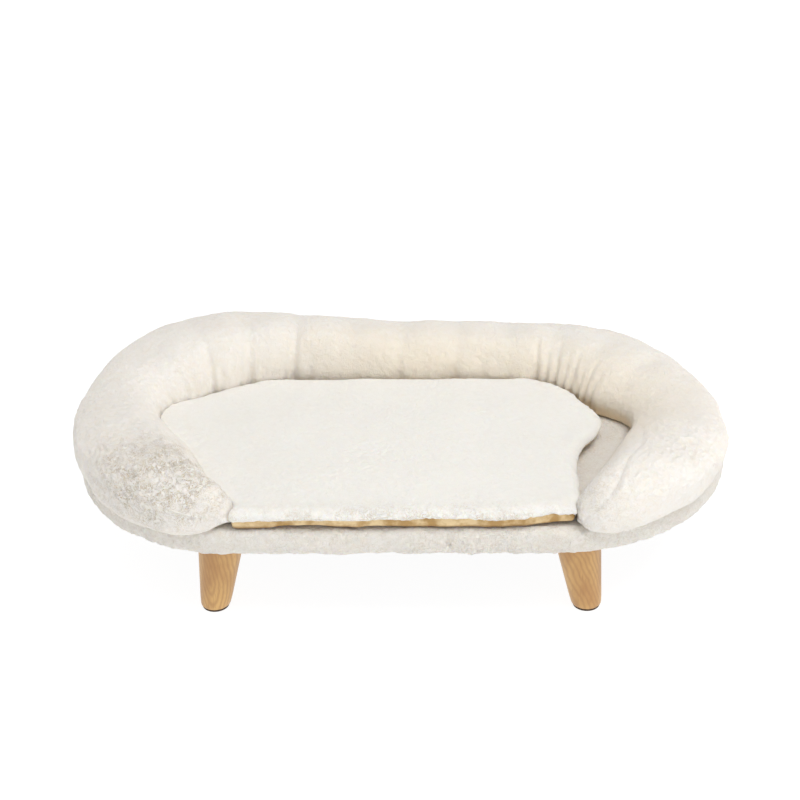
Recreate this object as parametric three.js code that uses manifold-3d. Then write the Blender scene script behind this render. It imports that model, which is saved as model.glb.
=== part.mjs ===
// A raised dog bed: a plush-covered plywood base on four splayed wooden legs, a C-shaped bolster
// round its back and ends, and a loose mat with a zipped cover. Millimetres, +Z up, front facing -Y.
// The origin is on the floor, under the middle of the base.
import * as THREE from "three";
import { mergeVertices } from "three/addons/utils/BufferGeometryUtils.js";
import Module from "manifold-3d";

const wasm = await Module();
wasm.setup();

// ---- Driving dimensions ----
const GAP = 0.3; // left between pieces that touch
const PLUSH = 4; // thickness of the plush fabric with its pile pressed down
const ARC_STEPS = 8; // steps in a quarter of each round end
const ROLL_STEPS = { section: 12, bend: 7, arm: 9 }; // steps round the bolster and along half of it

const BED = { length: 750, depth: 400, bottom: 106 }; // plan and underside of the covered base
const BOARD = 12; // plywood thickness
const FOAM = 11; // foam sheet on the board
const RETURN = { width: 24, thickness: 3 }; // plush turned in and stapled under the board
const BAND_ROUNDING = 5; // rounding of the covered base's edges

const LEG = { topRadius: 28.8, footRadius: 18.3, footEdge: 4 };
const FOOT = { x: 212, y: 144 }; // centre of a foot
const LEG_TOP = { x: 197, y: 131 }; // centre of a leg where it meets its plate
const PAD = { radius: 15.5, thickness: 2.5 };
const BOLT = { radius: 4, inWood: 23, above: 7.5 };
const PLATE = { size: 60, thickness: 2, corner: 5, neckRadius: 6.2, neckHeight: 4 };
const SCREW = { offset: 23, radius: 1.9, headRadius: 3.6, headHeight: 2.2, length: 12 };
const DUST = { thickness: 0.8, rimInset: 14 }; // non-woven cloth that closes the underside

const BOLSTER = { height: 76, overhang: 5, squareness: 2.3 };
// The bolster's inner edge: along the back, across each rear corner and down the arm to its tip.
// Each rounding is the length given up on both sides of a turn.
const SPACE = {
  rear: 105,
  backTurnX: 150,
  sideTurnX: 285,
  sideTurnY: 5,
  backRounding: 25,
  sideRounding: 30,
};
const ARM = { start: 80, end: 172, tipX: 184, tipY: -200 }; // degrees of the outer edge round from the back
const ARM_HEIGHT = { root: 60, swell: 12, tip: 34 };
const END_SEAM = 45; // from the bolster's inner edge to the seam of its end panel

const MAT = { clearance: 5, frontY: -197, frontRadius: 14, top: 162, pile: 5, lining: 1.2, sideInset: 5 };
const MAT_FILLING_INSET = 12;

const ZIP = { length: 230, tapeWidth: 8, tape: 0.7, coilWidth: 2, coil: 1.2, slit: 1.6, slotHeight: 11 };
const SLIDER = { rest: 101, length: 9, height: 8, plate: 1.2, web: 1 };
const PULL = { pin: 0.6, inner: 1.4, outer: 2.6, tabStart: 4, tabEnd: 12, thickness: 1 };

// ---- Derived levels and places ----
const ROUND_CENTRE = (BED.length - BED.depth) / 2;
const ROUND_RADIUS = BED.depth / 2;
const boardLow = BED.bottom + RETURN.thickness + GAP;
const boardHigh = boardLow + BOARD;
const foamLow = boardHigh + GAP;
const foamHigh = foamLow + FOAM;
const baseTop = foamHigh + GAP + PLUSH;
const dustHigh = boardLow - GAP;
const dustLow = dustHigh - DUST.thickness;
const plateHigh = dustLow - GAP;
const plateLow = plateHigh - PLATE.thickness;
const legHigh = plateLow - GAP;
const legLow = PAD.thickness + GAP;
const bolsterLow = baseTop + GAP;
const bolsterOuter = ROUND_RADIUS + BOLSTER.overhang;
const matLow = baseTop + GAP;
const matPileLow = MAT.top - MAT.pile;
const matRear = SPACE.rear - MAT.clearance - MAT.sideInset; // outer face of the lining's rear wall
const zipHeight = (matLow + MAT.lining + matPileLow) / 2;

// ---- Finishes ----
const FINISH = {
  cream_plush: { color: 0xf3ece0, roughness: 0.95, metalness: 0 },
  white_plush: { color: 0xf6f3ec, roughness: 0.95, metalness: 0 },
  lining: { color: 0xdcc494, roughness: 0.6, metalness: 0 },
  filling: { color: 0xf7f7f5, roughness: 1, metalness: 0 },
  foam: { color: 0xe9e4d2, roughness: 1, metalness: 0 },
  dust_cloth: { color: 0x2b2b2d, roughness: 0.9, metalness: 0 },
  plywood: { color: 0xd2b48a, roughness: 0.7, metalness: 0 },
  leg_wood: { color: 0xd2ab78, roughness: 0.45, metalness: 0 },
  zinc_steel: { color: 0xb9bcc0, roughness: 0.35, metalness: 1 },
  foot_rubber: { color: 0x3a332c, roughness: 0.8, metalness: 0 },
  zip_coil: { color: 0xe6dcc6, roughness: 0.6, metalness: 0 },
  zip_metal: { color: 0xc9c6bd, roughness: 0.3, metalness: 1 },
};

// ---- Solids ----
function toSolid(geometry) {
  const bare = geometry.clone();
  bare.deleteAttribute("normal");
  bare.deleteAttribute("uv");
  const merged = mergeVertices(bare, 1e-4);
  return new wasm.Manifold(
    new wasm.Mesh({
      numProp: 3,
      vertProperties: merged.attributes.position.array,
      triVerts: new Uint32Array(merged.index.array),
    }),
  );
}

function toGeometry(solid) {
  const { vertProperties, triVerts } = solid.getMesh();
  const geometry = new THREE.BufferGeometry();
  geometry.setAttribute("position", new THREE.BufferAttribute(vertProperties, 3));
  geometry.setIndex(new THREE.BufferAttribute(triVerts, 1));
  geometry.computeVertexNormals();
  return geometry;
}

function cut(geometry, ...tools) {
  return toGeometry(tools.reduce((solid, tool) => solid.subtract(toSolid(tool)), toSolid(geometry)));
}

function join(...geometries) {
  return toGeometry(geometries.map(toSolid).reduce((a, b) => a.add(b)));
}

// A box given by its middle and full size on each axis.
function box([x, y, z], [sizeX, sizeY, sizeZ]) {
  return new THREE.BoxGeometry(sizeX, sizeY, sizeZ).translate(x, y, z);
}

function rod(x, y, low, high, radius, steps = 12) {
  const cylinder = new THREE.CylinderGeometry(radius, radius, high - low, steps);
  return cylinder.rotateX(Math.PI / 2).translate(x, y, (low + high) / 2);
}

// A turned piece on the Z axis. Each point of the profile is [radius, height].
function turned(profile, steps) {
  const points = profile.map(([radius, height]) => new THREE.Vector2(radius, height));
  return new THREE.LatheGeometry(points, steps).rotateX(Math.PI / 2);
}

function slab(outline, low, high) {
  const options = { depth: high - low, bevelEnabled: false, curveSegments: ARC_STEPS };
  return new THREE.ExtrudeGeometry(outline, options).translate(0, 0, low);
}

function roundedSlab(outline, low, high, rounding) {
  const options = {
    depth: high - low - 2 * rounding,
    bevelThickness: rounding,
    bevelSize: rounding,
    bevelOffset: -rounding,
    bevelSegments: 2,
    curveSegments: ARC_STEPS,
  };
  return new THREE.ExtrudeGeometry(outline, options).translate(0, 0, low + rounding);
}

// ---- Outlines ----
// The base's plan: straight front and back, half-round ends.
function stadium(inset) {
  const outline = new THREE.Shape();
  const radius = ROUND_RADIUS - inset;
  outline.absarc(ROUND_CENTRE, 0, radius, -Math.PI / 2, Math.PI / 2);
  outline.absarc(-ROUND_CENTRE, 0, radius, Math.PI / 2, 1.5 * Math.PI);
  return outline;
}

function stadiumRing(outerInset, innerInset) {
  const outline = stadium(outerInset);
  outline.holes.push(stadium(innerInset));
  return outline;
}

// A point of the plan, at an angle in degrees round the right-hand end from the back.
function roundEndPoint(radius, degrees) {
  const angle = THREE.MathUtils.degToRad(degrees);
  return new THREE.Vector2(ROUND_CENTRE + radius * Math.sin(angle), radius * Math.cos(angle));
}

const sideTurn = new THREE.Vector2(SPACE.sideTurnX, SPACE.sideTurnY);
const armTip = new THREE.Vector2(ARM.tipX, ARM.tipY);
const armLength = sideTurn.distanceTo(armTip);
const armAlong = armTip.clone().sub(sideTurn).normalize();
const armInward = new THREE.Vector2(armAlong.y, -armAlong.x); // from the arm towards the mat
const cornerAlong = sideTurn.clone().sub(new THREE.Vector2(SPACE.backTurnX, SPACE.rear)).normalize();
const cornerInward = new THREE.Vector2(cornerAlong.y, -cornerAlong.x);

// Where two lines of the plan cross, each given by a point and a direction.
function crossing(pointA, alongA, pointB, alongB) {
  const apart = pointB.clone().sub(pointA);
  return pointA.clone().addScaledVector(alongA, apart.cross(alongB) / alongA.cross(alongB));
}

// The right half of the bolster's inner edge, or a line inset from it, with its turns rounded.
function innerEdge(inset) {
  const rear = new THREE.Vector2(0, SPACE.rear - inset);
  const corner = sideTurn.clone().addScaledVector(cornerInward, inset);
  const arm = armTip.clone().addScaledVector(armInward, inset);
  const turns = [
    { at: crossing(rear, new THREE.Vector2(1, 0), corner, cornerAlong), rounding: SPACE.backRounding },
    { at: crossing(corner, cornerAlong, arm, armAlong), rounding: SPACE.sideRounding },
  ];
  return { rear, turns, arm };
}

function addTurn(path, before, { at, rounding }, after) {
  const start = at.clone().add(before.clone().sub(at).setLength(rounding));
  const end = at.clone().add(after.clone().sub(at).setLength(rounding));
  path.lineTo(start.x, start.y);
  path.quadraticCurveTo(at.x, at.y, end.x, end.y);
}

// The mat's plan follows the bolster's inner edge and runs straight across the front.
function matOutline(inset) {
  const { turns: [backTurn, sideTurnPoint], arm } = innerEdge(MAT.clearance + inset);
  const frontY = MAT.frontY + inset;
  const front = arm.clone().addScaledVector(armAlong, (frontY - arm.y) / armAlong.y);
  const right = [
    { at: front, rounding: MAT.frontRadius },
    sideTurnPoint,
    backTurn,
  ];
  const left = right.map(({ at, rounding }) => ({ at: new THREE.Vector2(-at.x, at.y), rounding }));
  const turns = [...right, ...left.reverse()];
  const outline = new THREE.Shape();
  outline.moveTo(0, frontY);
  turns.forEach((turn, index) => {
    const before = turns.at(index - 1).at;
    addTurn(outline, before, turn, turns[(index + 1) % turns.length].at);
  });
  return outline;
}

// ---- Base ----
const CORNERS = [
  { name: "front_left", x: -1, y: -1 },
  { name: "front_right", x: 1, y: -1 },
  { name: "rear_left", x: -1, y: 1 },
  { name: "rear_right", x: 1, y: 1 },
];
const SCREW_PLACES = [[-1, -1], [1, -1], [-1, 1], [1, 1]];

function holesAtPlates(low, high, boltRadius, screwRadius) {
  return CORNERS.flatMap((corner) => {
    const x = corner.x * LEG_TOP.x;
    const y = corner.y * LEG_TOP.y;
    const screws = SCREW_PLACES.map(([sideX, sideY]) =>
      rod(x + sideX * SCREW.offset, y + sideY * SCREW.offset, low, high, screwRadius, 8));
    return [rod(x, y, low, boardHigh + 1, boltRadius), ...screws];
  });
}

function baseBoard() {
  const inset = PLUSH + GAP;
  const pilotTop = plateLow + SCREW.length + 1;
  const holes = holesAtPlates(dustLow, pilotTop, PLATE.neckRadius + GAP, SCREW.radius + GAP);
  return cut(slab(stadium(inset), boardLow, boardHigh), ...holes);
}

function baseFoam() {
  return slab(stadium(PLUSH + GAP), foamLow, foamHigh);
}

// Top, band and the strip returned under the board, open in the middle of the underside.
function baseCover() {
  const skin = roundedSlab(stadium(0), BED.bottom, baseTop, BAND_ROUNDING);
  const inside = slab(stadium(PLUSH), BED.bottom + RETURN.thickness, baseTop - PLUSH);
  const mouth = slab(stadium(RETURN.width), BED.bottom - 1, boardHigh);
  return cut(skin, inside, mouth);
}

// Lies against the board, steps down beside the plush return and laps over it.
function dustCover() {
  const lip = RETURN.width + GAP;
  const rimHigh = BED.bottom - GAP;
  const rimLow = rimHigh - DUST.thickness;
  const cloth = join(
    slab(stadium(lip), dustLow, dustHigh),
    slab(stadiumRing(lip, lip + DUST.thickness), rimLow, dustHigh),
    slab(stadiumRing(DUST.rimInset, lip + DUST.thickness), rimLow, rimHigh),
  );
  const holes = holesAtPlates(dustLow - 1, dustHigh + 1, PLATE.neckRadius + GAP, SCREW.radius + GAP);
  return cut(cloth, ...holes);
}

// ---- Legs and their fittings, on the foot's centre ----
const LEAN = {
  x: (LEG_TOP.x - FOOT.x) / legHigh,
  y: (LEG_TOP.y - FOOT.y) / legHigh,
};

function leg(corner) {
  const { topRadius, footRadius, footEdge } = LEG;
  const slant = Math.SQRT1_2 * footEdge;
  const profile = [
    [0, legLow],
    [footRadius - footEdge, legLow],
    [footRadius - footEdge + slant, legLow + footEdge - slant],
    [footRadius, legLow + footEdge],
    [topRadius, legHigh],
    [0, legHigh],
  ];
  const lean = new THREE.Matrix4().makeShear(0, 0, 0, 0, corner.x * LEAN.x, corner.y * LEAN.y);
  const body = turned(profile, 20).applyMatrix4(lean);
  const top = legTopOffset(corner);
  return cut(body, rod(top.x, top.y, legHigh - BOLT.inWood - 1, legHigh + 1, BOLT.radius + GAP));
}

function legTopOffset(corner) {
  return { x: corner.x * (LEG_TOP.x - FOOT.x), y: corner.y * (LEG_TOP.y - FOOT.y) };
}

function footPad() {
  const { radius, thickness } = PAD;
  return turned([[0, 0], [radius - 0.7, 0], [radius, 0.7], [radius, thickness], [0, thickness]], 20);
}

// Wood thread with a point below, machine thread above.
function hangerBolt() {
  const low = legHigh - BOLT.inWood;
  const high = legHigh + BOLT.above;
  const { radius } = BOLT;
  const neck = radius - 0.6;
  return turned([
    [0, low], [radius, low + 5], [radius, legHigh - 3], [neck, legHigh - 2],
    [neck, legHigh - 1], [radius, legHigh], [radius, high - 1], [radius - 1, high], [0, high],
  ], 10);
}

function circleHole(x, y, radius) {
  const hole = new THREE.Path();
  hole.absarc(x, y, radius, 0, 2 * Math.PI);
  return hole;
}

// A square plate with a threaded neck that stands up into the board.
function legPlate() {
  const half = PLATE.size / 2;
  const straight = half - PLATE.corner;
  const outline = new THREE.Shape();
  outline.absarc(straight, -straight, PLATE.corner, -Math.PI / 2, 0);
  outline.absarc(straight, straight, PLATE.corner, 0, Math.PI / 2);
  outline.absarc(-straight, straight, PLATE.corner, Math.PI / 2, Math.PI);
  outline.absarc(-straight, -straight, PLATE.corner, Math.PI, 1.5 * Math.PI);
  for (const [x, y] of SCREW_PLACES) {
    outline.holes.push(circleHole(x * SCREW.offset, y * SCREW.offset, SCREW.radius + GAP));
  }
  const options = { depth: PLATE.thickness, bevelEnabled: false, curveSegments: 3 };
  const sheet = new THREE.ExtrudeGeometry(outline, options).translate(0, 0, plateLow);
  const neck = rod(0, 0, plateHigh - 1, plateHigh + PLATE.neckHeight, PLATE.neckRadius);
  const bore = rod(0, 0, plateLow - 1, plateHigh + PLATE.neckHeight + 1, BOLT.radius + GAP);
  return cut(join(sheet, neck), bore);
}

function plateScrew() {
  const headHigh = plateLow - GAP;
  const headLow = headHigh - SCREW.headHeight;
  const tip = headHigh + SCREW.length;
  return turned([
    [0, headLow], [SCREW.headRadius - 1, headLow], [SCREW.headRadius, headLow + 1],
    [SCREW.headRadius, headHigh], [SCREW.radius, headHigh], [SCREW.radius, tip - 2], [0, tip],
  ], 8);
}

// ---- Bolster ----
// Stations run from the middle of the back to the right-hand tip. Each holds a point of the inner
// and of the outer edge of the plan, and the height of the roll there.
function halfStations(inset) {
  const { rear, turns: [backTurn, sideTurnPoint] } = innerEdge(0);
  const corner = new THREE.Path([rear]);
  addTurn(corner, rear, backTurn, sideTurnPoint.at);
  addTurn(corner, backTurn.at, sideTurnPoint, armTip);
  corner.curves.shift(); // what is left starts at the back turn
  const cornerEnd = corner.getPoint(1);
  const stations = [];
  const add = (inner, outer, height) => stations.push({ inner, outer, height });
  add(rear, new THREE.Vector2(0, bolsterOuter), BOLSTER.height);
  for (let step = 0; step < ROLL_STEPS.bend; step += 1) {
    const along = step / ROLL_STEPS.bend;
    const height = THREE.MathUtils.lerp(BOLSTER.height, ARM_HEIGHT.root, along ** 2);
    add(corner.getPointAt(along), roundEndPoint(bolsterOuter, ARM.start * along), height);
  }
  const reach = 1 - inset / armLength;
  for (let step = 0; step <= ROLL_STEPS.arm; step += 1) {
    const along = reach * Math.sin((step / ROLL_STEPS.arm) * (Math.PI / 2)); // closer at the tip
    const inner = cornerEnd.clone().lerp(armTip, along);
    const outer = roundEndPoint(bolsterOuter, THREE.MathUtils.lerp(ARM.start, ARM.end, along));
    add(inner, outer, armHeight(along));
  }
  return stations;
}

// Along the arm the roll swells and then closes down to the tip.
function armHeight(along) {
  const full = ARM_HEIGHT.root + ARM_HEIGHT.swell * Math.sin(along * Math.PI * 0.5);
  return THREE.MathUtils.lerp(full, ARM_HEIGHT.tip, along ** 6);
}

function mirrored({ inner, outer, height }) {
  const flip = (point) => new THREE.Vector2(-point.x, point.y);
  return { inner: flip(inner), outer: flip(outer), height };
}

// The roll's section at a station: a rounded, slightly squared oval, shrunk by the inset.
function sectionPoints({ inner, outer, height }, inset, steps) {
  const middle = inner.clone().lerp(outer, 0.5);
  const across = outer.clone().sub(inner).normalize();
  const halfWidth = inner.distanceTo(outer) / 2 - inset;
  const halfHeight = height / 2 - inset;
  const power = 2 / BOLSTER.squareness;
  const rounded = (value) => Math.sign(value) * Math.abs(value) ** power;
  return Array.from({ length: steps }, (_, step) => {
    const angle = (step / steps) * 2 * Math.PI;
    const sideways = halfWidth * rounded(Math.cos(angle));
    const up = bolsterLow + height / 2 + halfHeight * rounded(Math.sin(angle));
    return [middle.x + across.x * sideways, middle.y + across.y * sideways, up];
  });
}

// Joins the sections into one closed body with a fan at each tip.
function bolsterRoll(inset) {
  const steps = ROLL_STEPS.section;
  const half = halfStations(inset);
  const stations = [...half.slice(1).map(mirrored).reverse(), ...half];
  const rings = stations.map((station) => sectionPoints(station, inset, steps));
  const centreOf = (ring) => [0, 1, 2].map((k) => ring.reduce((sum, p) => sum + p[k], 0) / steps);
  const positions = [...rings, [centreOf(rings[0])], [centreOf(rings.at(-1))]].flat(2);
  const firstFan = rings.length * steps;
  const lastRing = firstFan - steps;
  const faces = [];
  for (let step = 0; step < steps; step += 1) {
    const next = (step + 1) % steps;
    for (let ring = 0; ring < rings.length - 1; ring += 1) {
      const a = ring * steps;
      const b = a + steps;
      faces.push(a + step, b + next, b + step, a + step, a + next, b + next);
    }
    faces.push(firstFan, next, step, firstFan + 1, lastRing + step, lastRing + next);
  }
  const geometry = new THREE.BufferGeometry();
  geometry.setAttribute("position", new THREE.Float32BufferAttribute(positions, 3));
  geometry.setIndex(faces);
  return geometry;
}

// The block that marks off a sewn end panel: from the arm's inner edge to the seam along its top.
function endPanelBlock(side, grow) {
  const length = armLength + 60;
  const width = 80;
  const block = new THREE.BoxGeometry(width + 2 * grow, length + 2 * grow, 2 * BOLSTER.height + 2 * grow);
  const centre = sideTurn.clone()
    .addScaledVector(armAlong, length / 2 - 6)
    .addScaledVector(armInward, width / 2 - END_SEAM);
  block.rotateZ(side * (Math.atan2(armAlong.y, armAlong.x) + Math.PI / 2));
  return block.translate(side * centre.x, centre.y, bolsterLow + BOLSTER.height / 2);
}

function bolsterShell() {
  return toSolid(bolsterRoll(0)).subtract(toSolid(bolsterRoll(PLUSH)));
}

// ---- Mat ----
function matLining() {
  const inset = MAT.sideInset;
  const high = matPileLow - GAP;
  const tray = slab(matOutline(inset), matLow, high);
  const inside = slab(matOutline(inset + MAT.lining), matLow + MAT.lining, high + 1);
  const slot = box([0, matRear, zipHeight], [ZIP.length, 8, ZIP.slotHeight]);
  return cut(tray, inside, slot);
}

function matFilling() {
  const low = matLow + MAT.lining + GAP;
  return slab(matOutline(MAT_FILLING_INSET), low, matPileLow - GAP);
}

function matTop() {
  return roundedSlab(matOutline(0), matPileLow, MAT.top, 2);
}

// ---- Zip in the rear wall of the mat's lining ----
const tapeFront = matRear + GAP + ZIP.tape;
const coilFront = tapeFront + ZIP.coil;
const sliderFront = coilFront + GAP + SLIDER.plate;
const pullAxis = { x: SLIDER.rest, y: sliderFront + PULL.pin + 0.4, z: zipHeight };

// One side of the zip: cloth tape, its half of the coil, and a stop at each end.
function zipTape(side) {
  const fromSlit = (depth) => zipHeight + side * (ZIP.slit / 2 + depth / 2);
  const tapeSize = [ZIP.length, ZIP.tape, ZIP.tapeWidth];
  const tape = box([0, tapeFront - ZIP.tape / 2, fromSlit(ZIP.tapeWidth)], tapeSize);
  const coilSize = [ZIP.length - 10, ZIP.coil + 0.1, ZIP.coilWidth];
  const coil = box([0, coilFront - coilSize[1] / 2, fromSlit(ZIP.coilWidth)], coilSize);
  const stopSize = [3, 2.6, ZIP.coilWidth + 1];
  const stops = [-1, 1].map((end) =>
    box([end * (ZIP.length / 2 - 6.5), tapeFront + 1, fromSlit(stopSize[2])], stopSize));
  return join(tape, coil, ...stops);
}

// Two plates joined through the slit, with a bridge that holds the pull.
function zipSlider() {
  const { rest, length, height, plate, web } = SLIDER;
  const plateSize = [length, plate, height];
  const frontY = sliderFront - plate / 2;
  const backY = matRear - plate / 2;
  const bridgeFront = pullAxis.y + PULL.pin + 0.4 + 0.8;
  const post = [0.8, bridgeFront - sliderFront + 0.2, PULL.pin * 2.6];
  return join(
    box([rest, frontY, zipHeight], plateSize),
    box([rest, backY, zipHeight], plateSize),
    box([rest, (frontY + backY) / 2, zipHeight], [length - 2, frontY - backY, web]),
    ...[-1, 1].map((end) => box([rest + end * 2.6, bridgeFront - post[1] / 2, zipHeight], post)),
    box([rest, bridgeFront - 0.4, zipHeight], [6, 0.8, post[2]]),
  );
}

// A pin under the bridge, two arms past it and a tab, lying flat along the tape.
function zipPull() {
  const { pin, inner, outer, tabStart, tabEnd, thickness } = PULL;
  const { x, y, z } = pullAxis;
  const arms = [-1, 1].map((side) =>
    box([x + tabStart / 2, y, z + (side * (inner + outer)) / 2], [tabStart + 1, thickness, outer - inner]));
  return join(
    rod(x, y, z - outer, z + outer, pin, 10),
    ...arms,
    box([x + (tabStart + tabEnd) / 2, y, z], [tabEnd - tabStart, thickness, 2 * outer]),
  );
}

// ---- Assembly ----
const bed = new THREE.Group();

function place(parent, name, geometry, finish) {
  const mesh = new THREE.Mesh(geometry, new THREE.MeshStandardMaterial(FINISH[finish]));
  mesh.name = name;
  parent.add(mesh);
}

place(bed, "base_board", baseBoard(), "plywood");
place(bed, "base_foam", baseFoam(), "foam");
place(bed, "base_cover", baseCover(), "white_plush");
place(bed, "dust_cover", dustCover(), "dust_cloth");

const shell = bolsterShell();
const panelBlocks = [-1, 1].map((side) => toSolid(endPanelBlock(side, 0)));
const roomForPanels = [-1, 1].map((side) => toSolid(endPanelBlock(side, GAP)));
const coverSolid = roomForPanels.reduce((solid, block) => solid.subtract(block), shell);
place(bed, "bolster_cover", toGeometry(coverSolid), "cream_plush");
place(bed, "bolster_end_left", toGeometry(shell.intersect(panelBlocks[0])), "cream_plush");
place(bed, "bolster_end_right", toGeometry(shell.intersect(panelBlocks[1])), "cream_plush");
place(bed, "bolster_filling", bolsterRoll(PLUSH + GAP), "filling");

for (const corner of CORNERS) {
  const foot = new THREE.Group();
  foot.position.set(corner.x * FOOT.x, corner.y * FOOT.y, 0);
  bed.add(foot);
  place(foot, "leg_" + corner.name, leg(corner), "leg_wood");
  place(foot, "foot_pad_" + corner.name, footPad(), "foot_rubber");

  const top = new THREE.Group();
  top.position.set(corner.x * LEG_TOP.x, corner.y * LEG_TOP.y, 0);
  bed.add(top);
  place(top, "leg_plate_" + corner.name, legPlate(), "zinc_steel");
  place(top, "hanger_bolt_" + corner.name, hangerBolt(), "zinc_steel");
  SCREW_PLACES.forEach(([x, y], index) => {
    const screw = new THREE.Group();
    screw.position.set(x * SCREW.offset, y * SCREW.offset, 0);
    top.add(screw);
    place(screw, `plate_screw_${corner.name}_${index + 1}`, plateScrew(), "zinc_steel");
  });
}

place(bed, "mat_lining", matLining(), "lining");
place(bed, "mat_filling", matFilling(), "filling");
place(bed, "mat_top", matTop(), "white_plush");
place(bed, "zip_tape_upper", zipTape(1), "zip_coil");
place(bed, "zip_tape_lower", zipTape(-1), "zip_coil");
place(bed, "zip_slider", zipSlider(), "zip_metal");
place(bed, "zip_pull", zipPull(), "zip_metal");

export default bed;
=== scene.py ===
import itertools
import math

import bmesh
import bpy
import numpy as np
from mathutils import Matrix, Vector


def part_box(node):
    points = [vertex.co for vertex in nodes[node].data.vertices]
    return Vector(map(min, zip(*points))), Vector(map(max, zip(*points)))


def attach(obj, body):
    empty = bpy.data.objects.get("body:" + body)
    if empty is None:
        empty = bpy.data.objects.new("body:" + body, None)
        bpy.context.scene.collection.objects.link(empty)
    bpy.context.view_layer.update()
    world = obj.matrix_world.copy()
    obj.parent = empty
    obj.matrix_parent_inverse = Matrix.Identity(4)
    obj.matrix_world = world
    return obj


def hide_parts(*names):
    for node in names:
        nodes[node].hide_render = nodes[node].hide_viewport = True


# A raised dog bed: a plush-covered board on four turned legs, a C-shaped bolster and a loose mat.
# Metres, +Z up, the open front faces -Y. Sizes that the CAD part holds are read from its boxes.
# Each soft solid of the CAD part is replaced by a modelled piece; hard fittings are kept and finished.

MM = 0.001
WAVE_PERIOD = 0.314  # distance between the bands of Blender's wave texture at a scale of 1
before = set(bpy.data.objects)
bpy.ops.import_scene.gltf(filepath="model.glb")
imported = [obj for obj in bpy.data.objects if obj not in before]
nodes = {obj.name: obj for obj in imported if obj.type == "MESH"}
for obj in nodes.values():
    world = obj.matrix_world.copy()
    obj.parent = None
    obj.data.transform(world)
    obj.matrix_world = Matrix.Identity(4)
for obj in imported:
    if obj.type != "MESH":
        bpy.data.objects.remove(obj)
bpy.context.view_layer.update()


# ---- Levels and sizes taken from the CAD part ----
base_low, base_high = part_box("base_cover")
BASE_HALF_LENGTH = base_high.x
BASE_RADIUS = base_high.y
ROUND_CENTRE = BASE_HALF_LENGTH - BASE_RADIUS
BASE_TOP = base_high.z
BASE_BOTTOM = base_low.z
ROLL_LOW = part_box("bolster_cover")[0].z
MAT_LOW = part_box("mat_lining")[0].z
MAT_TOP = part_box("mat_top")[1].z
MAT_PILE_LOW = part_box("mat_top")[0].z
MAT_WALL_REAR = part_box("mat_lining")[1].y
ZIP_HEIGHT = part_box("zip_slider")[0].z / 2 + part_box("zip_slider")[1].z / 2
ZIP_HALF_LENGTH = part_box("zip_tape_upper")[1].x

# ---- Sizes of the soft pieces ----
CLOTH = 3 * MM  # plush backing and pile where a cover is cut open
BASE_GRID = 2.2 * MM  # spacing of the points round the base
DROOP = 5 * MM  # how far the bolster's outer lip hangs over the base's edge
ARM_START = 0.392  # where an arm begins, measured along the bolster from the middle of the back
ROLL_HALF = 0.629  # length of half the bolster
TIP_ROUNDING = 26 * MM  # length over which each tip of the bolster closes


# ---- Noise, the same on every run ----
def hashed(cells, seed):
    """A number in -1..1 for each whole-number cell."""
    x, y, z = (cells[..., k].astype(np.uint64) for k in range(3))
    mixed = x * np.uint64(73856093) ^ y * np.uint64(19349663) ^ z * np.uint64(83492791)
    mixed = (mixed ^ np.uint64(seed * 2654435761 + 97)) & np.uint64(0xFFFFFFFF)
    for shift, factor in ((15, 2246822519), (13, 3266489917)):
        mixed = ((mixed ^ (mixed >> np.uint64(shift))) * np.uint64(factor)) & np.uint64(0xFFFFFFFF)
    mixed = mixed ^ (mixed >> np.uint64(16))
    return mixed.astype(float) / 0x7FFFFFFF - 1


def noise(points, size, seed=0, height_share=1.0):
    """Gradient noise in about -1..1 whose bumps are roughly as wide as size. A height share below 1
    makes them taller than wide, and 0 makes them the same at every height."""
    scaled = points * np.array([1, 1, height_share]) / size + 1000
    cell = np.floor(scaled).astype(np.int64)
    inside = scaled - cell
    fade = inside**3 * (inside * (inside * 6 - 15) + 10)
    total = np.zeros(scaled.shape[:-1])
    for corner in itertools.product((0, 1), repeat=3):
        offset = np.array(corner)
        weight = np.prod(np.where(offset, fade, 1 - fade), axis=-1)
        slope = sum(
            (inside - offset)[..., k] * hashed(cell + offset, seed * 3 + k) for k in range(3)
        )
        total += weight * slope
    return total * 1.5


def pile_height(points, seed=0):
    """Relief of short rabbit plush in millimetres: soft tufts, curlier in some patches than in others."""
    warp = np.stack([noise(points, 14 * MM, seed + k) for k in range(3)], axis=-1) * 4 * MM
    bent = points + warp
    tufts = 0.75 - 1.9 * np.abs(noise(bent, 9 * MM, seed + 5)) ** 1.1
    small = noise(bent, 5 * MM, seed + 6)
    broad = noise(points, 34 * MM, seed + 7)
    curly = 0.55 + 0.75 * smooth(noise(points, 80 * MM, seed + 8), -0.2, 0.5)
    return curly * (0.75 * tufts + 0.6 * small) + 0.6 * broad


def smooth(value, start, end):
    """0 before start, 1 after end, turning smoothly between them."""
    t = np.clip((np.asarray(value, float) - start) / (end - start), 0, 1)
    return t * t * (3 - 2 * t)


def bell(value, centre, width):
    return np.exp(-(((value - centre) / width) ** 2))


# ---- Meshes ----
def new_object(name, points, faces, smooth_faces=True):
    """An object of the points, given as a list or as rings, and the faces between them."""
    mesh = bpy.data.meshes.new(name)
    mesh.from_pydata(np.asarray(points, float).reshape(-1, 3).tolist(), [], faces)
    mesh.polygons.foreach_set("use_smooth", [smooth_faces] * len(mesh.polygons))
    mesh.update()
    return linked(name, mesh)


def linked(name, data):
    made = bpy.data.objects.new(name, data)
    bpy.context.scene.collection.objects.link(made)
    return made


def tube_faces(rows, columns, first=0):
    """Quads between rings of points stored one after another."""
    row, column = np.meshgrid(np.arange(rows - 1), np.arange(columns), indexing="ij")
    after = (column + 1) % columns
    below, above = row * columns, (row + 1) * columns
    quads = np.stack([below + column, below + after, above + after, above + column], axis=-1)
    return (quads.reshape(-1, 4) + first).tolist()


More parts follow.
